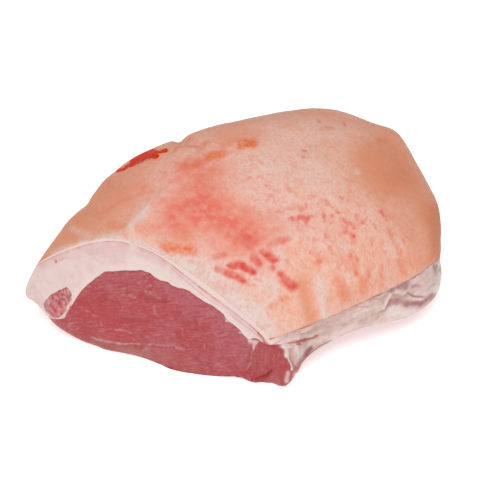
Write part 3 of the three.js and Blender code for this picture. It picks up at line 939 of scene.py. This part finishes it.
def make_fat(material):
    """The fat with the rind as its outer skin, and the line of the cut round its edge."""
    body = Body()
    us, vs = spread(FAT_CELLS[0]), spread(FAT_CELLS[1])
    few_us, few_vs = us[::COARSE], vs[::COARSE]
    grid = body.add(rind(us, vs))
    body.fill(grid)
    s = loop_places(us, vs)
    turned = np.mod(s + 2, 4) - 2
    front = between(turned, FRONT_FROM, FRONT_TO)
    right = between(turned, RIGHT_FROM, RIGHT_TO)
    covered = between(s, DROP_FROM, DROP_TO)
    thick = RIND_THICK + RIND_THICKER * between(turned, THICKER_FROM, FRONT_TO)
    drop = (RIND_DROP + waves(rind_edge(s), DROP_WAVES)) * covered
    shares = meat_share(s) * np.linspace(0, 1, FAT_ROWS + 1)[:, None] ** ROW_CROWDING
    walls = [side(s, share) for share in shares]
    steps = [np.linalg.norm(b - a, axis=1) for a, b in zip(walls, walls[1:])]
    rims = np.cumsum([0 * s, *steps], axis=0)
    upper = grid_loop(grid)
    wall_rings = []
    for points, rim in zip(walls[1:], rims[1:]):
        below = np.maximum(0, rim - drop)
        lower = body.add(points, wall=smoothstep(below, 0, RIND_LINE), rim=below, front=front,
                         skin_depth=below / thick, gap=rims[-1] - rim, right=right, covered=covered)
        body.join(upper, lower)
        wall_rings.append(lower)
        upper = lower
    lip_points = walls[-1] - LIP_WIDTH * outward(s) - LIP_DROP
    lip = body.add(lip_points, wall=1, rim=rims[-1], skin_depth=HIDDEN_DEPTH)
    body.join(upper, lip, hidden=True)
    inside_points = lean_top(few_us, few_vs) + HALF_GAP
    inside = body.add(inside_points, wall=1, rim=HIDDEN_RIM, skin_depth=HIDDEN_DEPTH)
    body.stitch(lip, grid_loop(inside))
    body.fill(inside, flip=True, hidden=True)

    base, wall = body.points(), body.value("wall")
    edge_front = body.value("front")
    edge_front[grid_loop(grid)] = front
    body.mark(front=edge_front)
    normals = point_normals(base, body.shown)
    seen = faces_photo(base, normals)
    body.mark(**drawn(base, (1 - wall) * seen, RIND_SOFT, RIND_STROKES))
    body.mark(**drawn(base, wall * seen, FAT_SOFT, FAT_STROKES))
    # Painted shade: tan on the sides that turn away from the camera and the light
    body.mark(tan=np.maximum(body.value("tan"), UNSEEN_TAN_SHADE * (1 - seen)))
    relief = fat_relief(base, body, seen)
    # Painted shade: the fat is darkened where its relief sinks into hollows
    body.mark(hollow=wall * smoothstep(-relief, *HOLLOW_SHADE_FROM))
    rind_relief = waves(base, RIND_WAVES) + fold_heights(base, RIND_FOLDS)
    lift = (1 - wall) * rind_relief + wall * relief
    points = base + normals * lift[:, None]
    shift = points[upper] - base[upper]
    points[lip] += shift
    points[inside.ravel()] += carried(few_us, few_vs, s, shift - LIP_WIDTH * outward(s))
    near_edge = EDGE_SHARE * wall * bell(body.value("rim"), EDGE_REACH)
    near_edge[grid_loop(grid)] = EDGE_SHARE
    points = softened(points, body.faces, near_edge, EDGE_TIMES)
    turned_down = np.zeros(len(base))
    cells, places = edge_cells(us, vs)
    rounding = np.maximum(covered, NEAR_CORNER_SHARE * bell(s - NEAR_CORNER, NEAR_CORNER_REACH))
    turned_down[grid] = np.interp(places, s, rounding) * bell(cells, ROUND_CELLS)
    for ring, rim in zip(wall_rings, rims[1:]):
        turned_down[ring] = rounding * bell(rim, ROUND_RIM)
    points = softened(points, body.faces, ROUND_SHARE * turned_down, ROUND_TIMES)
    make_piece("rind_and_fat", body, points, material, ["fat_cap"])


def side_relief(points, seen):
    """Height of the swells and folds that run on from the fat into the lean."""
    return waves(points, SIDE_WAVES) + seen * fold_heights(points, SIDE_FOLDS)


def fat_relief(points, body, seen):
    """Height of the fat's cut side: a proud rind, a groove under it, layers and a lip at the lean."""
    rim, depth, gap, front = (body.value(name) for name in ("rim", "skin_depth", "gap", "front"))
    layered = np.column_stack([points[:, :2], rim])
    groove = GROOVE_DEPTH * bell(depth - GROOVE_AT, GROOVE_REACH)
    cut = PROUD * (1 - smoothstep(depth, *PROUD_TO)) - groove + waves(layered, CUT_WAVES)
    overhang = OVERHANG * body.value("covered") * bell(rim - OVERHANG_AT, OVERHANG_REACH)
    strip = waves(points, STRIP_WAVES) + waves(layered, STRIP_LAYERS)
    strip = strip - STRIP_DEPTH * smoothstep(rim, *STRIP_FROM) - overhang
    lip = -LIP_DEPTH * np.exp(-gap / LIP_FADE)
    relief = smoothstep(gap, 0, LEAN_FADE) * (front * cut + (1 - front) * strip) + lip
    return relief + smoothstep(rim, 0, SIDE_FADE) * side_relief(points, seen)


def make_lean(material):
    """The main muscle: its cut face, its lower sides and its underside."""
    body = Body()
    us, vs = spread(LEAN_CELLS[0]), spread(LEAN_CELLS[1])
    few_us, few_vs = us[::COARSE], vs[::COARSE]
    half_us, half_vs = us[::HALF], vs[::HALF]
    s = loop_places(us, vs)
    share = meat_share(s, LEAN_ABOVE)
    last = side(s, share)
    tuck = body.add(last - TUCK_WIDTH * outward(s) + TUCK_RISE)
    top = body.add(lean_top(few_us, few_vs) - HALF_GAP)
    body.fill(top, hidden=True)
    body.stitch(tuck, grid_loop(top), flip=True)
    upper, depth = tuck, LEAN_START
    fatty = between(s, FATTY_FROM, FATTY_TO)
    rows = []
    for row in range(LEAN_ROWS + 1):
        points = side(s, share + (1 - share) * row / LEAN_ROWS)
        depth = depth + np.linalg.norm(points - last, axis=1)
        # the lower part of the side, on which the strip's fat gets painted shade
        low = smoothstep(row / LEAN_ROWS, *SHADED_LOW_FROM)
        rows.append(body.add(points, depth=depth, face=1, fatty=fatty, low=low))
        body.join(upper, rows[-1], hidden=row == 0)
        upper, last = rows[-1], points
    bottom = body.add(underside(half_us, half_vs))
    body.stitch(upper, grid_loop(bottom))
    body.fill(bottom, flip=True, hidden=True)

    base, depth, face = body.points(), body.value("depth"), body.value("face")
    normals = point_normals(base, body.shown)
    seen = face * faces_photo(base, normals)
    body.mark(**drawn(base, seen, LEAN_SOFT, LEAN_STROKES))
    fibres = lean_relief(base) - DARK_DEPTH * body.value("dark")
    lift = side_relief(base, seen) + smoothstep(depth, 0, FIBRE_FADE) * fibres
    lift -= RIM_DEPTH * (1 - smoothstep(depth, *RIM_TO))
    move = normals * (face * lift)[:, None]
    move[:, 2] *= smoothstep(base[:, 2], 0, FOOT_FADE)
    points = base + move
    points[tuck] += move[rows[0]]
    border_move = move[rows[0]] - TUCK_WIDTH * outward(s)
    points[top.ravel()] += carried(few_us, few_vs, s, border_move)
    level = np.array((1, 1, 0))
    points[bottom.ravel()] += carried(half_us, half_vs, s, move[rows[-1]]) * level
    make_piece("lean_muscle", body, points, material, ["lean_main"])


def lean_relief(points):
    """Height of the bundles of fibres on the cut, which run along it and fall a little to the right."""
    x, y, z = points.T
    turned = np.stack([x - FIBRE_SLOPE * z, y, z + FIBRE_SLOPE * x], 1)
    return waves(turned, FIBRE_WAVES) + waves(points, LEAN_WAVES)


def side_slopes(s, share):
    """How the photo's pixels change with the place round the edge and with the share of the side."""
    here = in_photo(side(s, share))
    by_s = (in_photo(side(s + SLOPE_STEP, share)) - here) / SLOPE_STEP
    by_share = (in_photo(side(s, share - SLOPE_STEP)) - here) / -SLOPE_STEP
    return here, np.stack([by_s, by_share], -1)


def on_side(pixels):
    """The places round the edge and the shares of the side that show at some of the photo's pixels."""
    places = np.stack(np.meshgrid(FRONT_PLACES, FRONT_SHARES), -1).reshape(-1, 2)
    known, slopes = side_slopes(*places.T)
    shown = np.linalg.det(slopes) > 0
    nearest = [((known[shown] - pixel) ** 2).sum(axis=1).argmin() for pixel in pixels]
    found = places[shown][nearest]
    for _ in range(STEPS):
        here, slopes = side_slopes(*found.T)
        step = np.linalg.solve(slopes, (pixels - here)[..., None])[..., 0]
        found = found + np.clip(step, -MOST_STEP, MOST_STEP)
        found[:, 1] = np.clip(found[:, 1], FRONT_SHARES[0], 1)
    return found.T


def make_patch(name, node, s, share, lift, thick, material):
    """A piece that lies on the side of the joint and reaches into it, its rim sunk below the side."""
    body = Body()
    outer_points = side(s, share)
    fatty = smoothstep(s, *TAIL_FATTY)
    outer = body.add(outer_points, fatty=fatty)
    inner = body.add(outer_points - thick[..., None] * outward(s), fatty=fatty)
    body.fill(outer, flip=True)
    body.fill(inner, hidden=True)
    body.join(grid_loop(inner), grid_loop(outer), hidden=True)
    base = body.points()
    normals = point_normals(base, body.shown)
    seen = faces_photo(base, normals)
    body.mark(**drawn(base, seen, LEAN_SOFT, LEAN_STROKES))
    outside = np.arange(len(base)) < outer.size
    lift = np.where(outside, np.tile(lift.ravel(), 2) + side_relief(base, seen), 0)
    move = normals * lift[:, None]
    move[:, 2] *= smoothstep(base[:, 2], 0, FOOT_FADE)
    make_piece(name, body, base + move, material, [node])


def make_corner_muscle(material):
    """The small muscle in the fat at the left of the cut."""
    line = np.linspace(-1, 1, CORNER_CELLS + 1)
    x, y = np.meshgrid(line, line)
    across, along = x * np.sqrt(1 - y * y / 2), y * np.sqrt(1 - x * x / 2)
    radius, turn = np.hypot(across, along), np.arctan2(along, across)
    rim_x, rim_y = (CORNER_OUTLINE - CORNER_AT).T
    reach = np.interp(turn, np.arctan2(rim_y, rim_x), np.hypot(rim_x, rim_y), period=2 * np.pi)
    pixels = CORNER_AT + np.stack([across, along], -1) * reach[..., None]
    s, share = on_side(pixels.reshape(-1, 2)).reshape(2, *x.shape)
    base = side(s, share)
    grain = waves(base, CORNER_WAVES) * (1 - radius ** GRAIN_SHOULDER)
    ragged = waves(base, RAGGED_WAVES) * radius ** RAGGED_SHOULDER
    lift = CORNER_RISE * (1 - radius ** CORNER_SHOULDER) - CORNER_SUNK + grain + ragged
    thick = CORNER_THICK + CORNER_THICKER * (1 - radius ** 2)
    make_patch("corner_muscle", "lean_corner", s, share, lift, thick, material)


def make_tail_muscle(material):
    """The muscle right of the seam, with its drooping tip at the near corner."""
    line = np.linspace(0, 1, TAIL_CELLS + 1)
    a, b = np.meshgrid(line, line)
    seam_s, seam_share = on_side(np.array(SEAM))
    top = meat_share(seam_s[:1], TAIL_ABOVE)
    seam = np.interp(top + (1 - top) * b, seam_share, seam_s)
    s = seam + a * (TAIL_END - seam)
    top = meat_share(s, TAIL_ABOVE)
    share = top + (1 - top) * b
    left, right, above = TAIL_RIMS
    rim = smoothstep(a, 0, left) * smoothstep(1 - a, 0, right) * smoothstep(b, 0, above)
    lift = (TAIL_RISE + waves(side(s, share), TAIL_WAVES)) * rim - TAIL_SUNK
    make_patch("tail_muscle", "lean_tail", s, share, lift, np.full(a.shape, TAIL_THICK), material)


class Shader:
    """One material and the nodes that make it."""

    def __init__(self, name, roughness, specular):
        self.material = bpy.data.materials.new(name)
        self.material.use_nodes = True
        self.tree = self.material.node_tree
        self.surface = self.tree.nodes["Principled BSDF"].inputs
        self.surface["Roughness"].default_value = roughness
        self.surface["Specular IOR Level"].default_value = specular
        self.place = self.tree.nodes.new("ShaderNodeTexCoord").outputs["Object"]

    def put(self, socket, value):
        if isinstance(value, bpy.types.NodeSocket):
            self.tree.links.new(value, socket)
        elif isinstance(value, str):
            socket.default_value = (*COLOURS[value], 1)
        else:
            socket.default_value = value

    def node(self, kind, output, settings=None, **inputs):
        node = self.tree.nodes.new(kind)
        for name, value in (settings or {}).items():
            setattr(node, name, value)
        for name, value in inputs.items():
            self.put(node.inputs[name.replace("_", " ")], value)
        return node.outputs[output]

    def value(self, name):
        return self.node("ShaderNodeAttribute", "Fac", {"attribute_name": name})

    def stretch(self, sizes, turn=(0, 0, 0)):
        """Coordinates in which a texture of size 1 has these sizes, in millimetres."""
        scale = [1 / (size * MM) for size in sizes]
        turned = self.node("ShaderNodeMapping", "Vector", Vector=self.place, Rotation=turn)
        return self.node("ShaderNodeMapping", "Vector", Vector=turned, Scale=scale)

    def noise(self, sizes, detail=3.0, turn=(0, 0, 0), distortion=0.0):
        sizes = sizes if hasattr(sizes, "__len__") else (sizes,) * 3
        return self.node("ShaderNodeTexNoise", "Fac", Vector=self.stretch(sizes, turn), Scale=1.0,
                         Detail=detail, Distortion=distortion)

    def layers(self, rim, long, thick):
        """Noise in long layers that follow the rind, at a distance of rim from it."""
        axes = self.node("ShaderNodeSeparateXYZ", "X", Vector=self.place).node.outputs
        x, y = (self.math("MULTIPLY", axes[name], 1 / (long * MM)) for name in "XY")
        z = self.math("MULTIPLY", rim, 1 / thick)
        vector = self.node("ShaderNodeCombineXYZ", "Vector", X=x, Y=y, Z=z)
        return self.node("ShaderNodeTexNoise", "Fac", Vector=vector, Scale=1.0, Detail=3.0)

    def dots(self, size):
        place = self.stretch((size,) * 3)
        return self.node("ShaderNodeTexVoronoi", "Distance", Vector=place, Scale=1.0)

    def ramp(self, value, low, high, start=0.0, end=1.0):
        return self.node("ShaderNodeMapRange", "Result", {"interpolation_type": "SMOOTHSTEP"},
                         Value=value, From_Min=low, From_Max=high, To_Min=start, To_Max=end)

    def math(self, operation, first, second, clamp=False):
        node = self.tree.nodes.new("ShaderNodeMath")
        node.operation = operation
        node.use_clamp = clamp
        self.put(node.inputs[0], first)
        self.put(node.inputs[1], second)
        return node.outputs[0]

    def times(self, first, second):
        return self.math("MULTIPLY", first, second, clamp=True)

    def mix(self, share, first, second):
        node = self.tree.nodes.new("ShaderNodeMix")
        node.data_type = "RGBA"
        for index, value in ((0, share), (6, first), (7, second)):
            self.put(node.inputs[index], value)
        return node.outputs[2]

    def coated(self, colour, *coats):
        """A colour under coats, each of them a share and a colour."""
        for share, coat in coats:
            colour = self.mix(share, colour, coat)
        return colour

    def cut_marks(self):
        """The coats of the marks that fat and lean have in common."""
        return [(self.value(mark), colour) for mark, colour in CUT_COLOURS.items()]

    def finished(self, colour, roughness, *heights):
        """The material, with fine relief from pairs of a height and its depth in millimetres."""
        self.put(self.surface["Base Color"], colour)
        self.put(self.surface["Roughness"], roughness)
        normal = None
        for height, depth in heights:
            node = self.tree.nodes.new("ShaderNodeBump")
            node.inputs["Distance"].default_value = depth * MM
            self.put(node.inputs["Height"], height)
            if normal:
                self.put(node.inputs["Normal"], normal)
            normal = node.outputs["Normal"]
        self.put(self.surface["Normal"], normal)
        return self.material


def rind_material():
    """Rind over fat: peach skin with bruises, tan partly painted as shade, pale layers on the cut side.
    """
    shader = Shader("rind_and_fat", 0.55, 0.04)
    ramp, times, value = shader.ramp, shader.times, shader.value
    fine = shader.noise(3.2, 4)
    grain = shader.noise(1.1, 3)
    patches = shader.noise(7, 4)
    streaks = shader.noise((2.0, 2.0, 9.0), 3)
    hairs = shader.noise((0.8, 1.1, 5.0), 2)
    tan = value("tan")
    mottle = ramp(shader.noise(5, 5), 0.3, 0.7, 0.7, 1.3)
    blotches = ramp(shader.noise((4.5, 4.5, 6.5), 4, distortion=0.6), 0.5, 0.68, 0.0, 0.6)
    stain = ramp(shader.noise(2.2, 3), 0.3, 0.55, 0.5, 1.0)
    torn = times(value("scab"), ramp(shader.noise(1.5, 3), 0.3, 0.7, 0.5, 1.4))
    scab = shader.mix(ramp(fine, 0.35, 0.6), "scab_dark", "scab")
    skin = shader.coated(
        "peach",
        (ramp(shader.noise(26, 3), 0.35, 0.65), "pale"),
        (ramp(streaks, 0.46, 0.25, 0.0, 0.5), "cream"),
        (ramp(hairs, 0.45, 0.25, 0.0, 0.45), "cream"),
        # tan, partly painted shade on slopes and edges that turn from the light
        (times(tan, ramp(fine, 0.1, 0.5, 0.75, 1.0)), "tan"),
        # tan patch at the right back, partly painted shade
        (value("patch"), "tan"),
        # painted shade: deeper tan where the tan field is strongest, as at the right silhouette
        (ramp(tan, 0.8, 1.0, 0.0, 0.6), "tan_shade"),
        (value("cream"), "cream"),
        (times(value("blush"), mottle), "blush"),
        (ramp(fine, 0.5, 0.75, 0.0, 0.18), "blush"),
        (times(value("spots"), blotches), "blush"),
        (ramp(patches, 0.5, 0.7, 0.0, 0.22), "tan"),
        (ramp(streaks, 0.48, 0.72, 0.0, 0.4), "tan"),
        (ramp(hairs, 0.5, 0.78, 0.0, 0.3), "pore"),
        (times(value("mark"), ramp(fine, 0.25, 0.55, 0.8, 1.0)), "mark"),
        (times(value("orange"), stain), "orange"),
        (ramp(grain, 0.55, 0.75, 0.0, 0.15), "pore"),
        (ramp(torn, 0.02, 0.3, 0.0, 0.6), "orange"),
        (ramp(torn, 0.25, 0.5), scab),
    )

    rim, front, depth = value("rim"), value("front"), value("skin_depth")
    layers = shader.layers(rim, 30, 2.2)
    strip = shader.math("SUBTRACT", 1.0, front)
    upper = times(ramp(rim, 10.0, 2.0, 0.0, 1.0), front)
    seam = times(ramp(depth, 0.9, 1.1), ramp(depth, 1.5, 1.2))
    second = times(ramp(depth, 1.7, 1.85), ramp(depth, 2.15, 1.95))
    broken = ramp(shader.noise(7, 2), 0.35, 0.6, 0.2, 0.8)
    lines = shader.math("ADD", seam, times(second, 0.5), clamp=True)
    side_line = times(ramp(rim, 1.4, 0.5), strip)
    line_colour = shader.mix(value("right"), "brown", "crack")
    fat = shader.coated(
        "fat",
        (ramp(shader.noise(14, 4), 0.4, 0.65, 0.0, 0.5), "fat_pink"),
        (times(strip, ramp(patches, 0.4, 0.6, 0.2, 0.9)), "fat_yellow"),
        (ramp(shader.noise(5, 4), 0.4, 0.7, 0.0, 0.6), "fat_white"),
        (ramp(layers, 0.48, 0.72, 0.0, 0.45), "fat_white"),
        (times(upper, ramp(patches, 0.35, 0.6, 0.1, 0.6)), "fat_pink"),
        (ramp(value("gap"), 8.0, 2.0, 0.0, 0.6), "fat_white"),
        (value("pink"), "fat_pink"),
        (times(strip, ramp(layers, 0.5, 0.35, 0.0, 0.5)), "fat_pink"),
        (times(times(lines, front), broken), "seam"),
        (times(ramp(depth, 1.1, 0.9), front), "rind_cut"),
        (times(side_line, ramp(patches, 0.3, 0.6, 0.5, 0.95)), line_colour),
        # painted shade in the hollows of the strip's fat
        (times(times(value("hollow"), strip), 0.8), "fat_shade"),
        *shader.cut_marks(),
        (value("crack"), "crack"),
        (ramp(grain, 0.5, 0.75, 0.0, 0.2), "fat_pink"),
    )
    pores = ramp(shader.dots(2.1), 0.0, 0.45)
    return shader.finished(shader.mix(value("wall"), skin, fat), ramp(fine, 0.3, 0.7, 0.42, 0.58),
                           (pores, 0.1), (fine, 0.25), (hairs, 0.12), (grain, 0.1))


def lean_material(name, turn, fleck):
    """Raw lean: fibres along the cut, pale marbling, deeper red in places, and fat on the right."""
    shader = Shader(name, 0.4, 0.4)
    ramp, times, value = shader.ramp, shader.times, shader.value
    fibres = shader.noise((6, 4, 0.84), 4, turn, 0.5)
    strands = shader.noise((14, 9, 2.0), 3, turn, 0.5)
    mottle = shader.noise(2.4, 4)
    grain = shader.noise(0.9, 2)
    marble = times(ramp(strands, 0.6, 0.76), ramp(shader.noise(9, 2), 0.45, 0.65))
    fatty = shader.coated(
        "fat_yellow",
        (ramp(shader.noise(6, 4), 0.35, 0.65), "fat_white"),
        (ramp(mottle, 0.45, 0.75, 0.0, 0.5), "fat_pink"),
        # painted shade: olive on the lower part of the strip's fat
        (times(value("low"), 0.75), "olive_shade"),
    )
    lean = shader.coated(
        "lean_deep",
        (ramp(shader.noise(22, 4), 0.35, 0.65), "lean"),
        (ramp(shader.noise(11, 3), 0.45, 0.7, 0.0, 0.7), "lean_mauve"),
        (times(value("mauve"), 0.9), "lean_mauve"),
        (ramp(mottle, 0.48, 0.72, 0.0, 0.35), "lean_pale"),
        (ramp(mottle, 0.48, 0.22, 0.0, 0.8), "lean_deep"),
        (ramp(fibres, 0.5, 0.72, 0.0, 0.55), "lean_pale"),
        (ramp(fibres, 0.46, 0.28, 0.0, 0.8), "lean_deep"),
        (ramp(grain, 0.5, 0.8, 0.0, 0.3), "lean_pale"),
        (times(value("red"), ramp(fibres, 0.62, 0.42, 0.25, 0.85)), "lean_red"),
        (times(marble, fleck), "silver"),
        (times(value("under"), 0.85), "lean_under"),
        (times(value("dark"), 0.8), "lean_deep"),
        (times(value("streak"), ramp(mottle, 0.3, 0.65, 0.3, 0.75)), "silver"),
        (value("fatty"), fatty),
        *shader.cut_marks(),
    )
    return shader.finished(lean, ramp(fibres, 0.3, 0.7, 0.32, 0.52),
                           (strands, 0.35), (fibres, 0.25), (mottle, 0.3), (grain, 0.12))


def corner_material():
    """Coarse red bundles with white fat between them."""
    shader = Shader("corner_lean", 0.4, 0.4)
    bundles = shader.noise((1.5, 1.5, 3.5), 4, (0, 0.7, 0), 0.8)
    lean = shader.coated(
        "lean_red",
        (shader.ramp(shader.noise(3, 4), 0.35, 0.65), "lean_pale"),
        (shader.ramp(bundles, 0.46, 0.66, 0.0, 0.75), "silver"),
        (shader.value("white"), "fat_white"),
    )
    return shader.finished(lean, shader.ramp(bundles, 0.3, 0.7, 0.35, 0.5), (bundles, 0.35))


def make_floor():
    mesh = bpy.data.meshes.new("floor")
    corners = [(x * FLOOR_REACH, y * FLOOR_REACH, 0) for x, y in ((-1, -1), (1, -1), (1, 1), (-1, 1))]
    mesh.from_pydata(corners, [], [(0, 1, 2, 3)])
    floor = bpy.data.objects.new("floor", mesh)
    bpy.context.scene.collection.objects.link(floor)
    material = bpy.data.materials.new("floor")
    material.use_nodes = True
    surface = material.node_tree.nodes["Principled BSDF"].inputs
    surface["Base Color"].default_value = (FLOOR_GREY, FLOOR_GREY, FLOOR_GREY, 1)
    surface["Roughness"].default_value = 0.9
    surface["Specular IOR Level"].default_value = 0.1
    surface["Emission Color"].default_value = (1, 1, 1, 1)
    surface["Emission Strength"].default_value = FLOOR_GLOW
    mesh.materials.append(material)


def place_towards(obj, azimuth, elevation, distance):
    way = direction(azimuth, elevation)
    obj.location = LOOK_AT + way * distance
    obj.rotation_euler = way.to_track_quat("Z", "Y").to_euler()
    bpy.context.scene.collection.objects.link(obj)


def make_camera():
    data = bpy.data.cameras.new("camera")
    data.lens = LENS
    data.sensor_width = SENSOR
    camera = bpy.data.objects.new("camera", data)
    place_towards(camera, CAMERA_AZIMUTH, CAMERA_ELEVATION, CAMERA_DISTANCE)
    bpy.context.scene.camera = camera


def make_key_light():
    data = bpy.data.lights.new("key", "AREA")
    data.shape = "DISK"
    data.size = KEY_SIZE
    data.energy = KEY_WATTS
    key = bpy.data.objects.new("key", data)
    place_towards(key, KEY_AZIMUTH, KEY_ELEVATION, KEY_DISTANCE)


def make_studio():
    world = bpy.data.worlds.new("studio")
    world.use_nodes = True
    world.node_tree.nodes["Background"].inputs["Color"].default_value = (1, 1, 1, 1)
    world.node_tree.nodes["Background"].inputs["Strength"].default_value = SURROUNDINGS
    bpy.context.scene.world = world
    bpy.context.scene.view_settings.view_transform = "Standard"
    make_key_light()
    make_floor()
    make_camera()


make_studio()
make_fat(rind_material())
make_lean(lean_material("raw_lean", (0, 0.34, 0), 0.5))
make_corner_muscle(corner_material())
make_tail_muscle(lean_material("tail_lean", (0, 1.4, 0), 0.4))
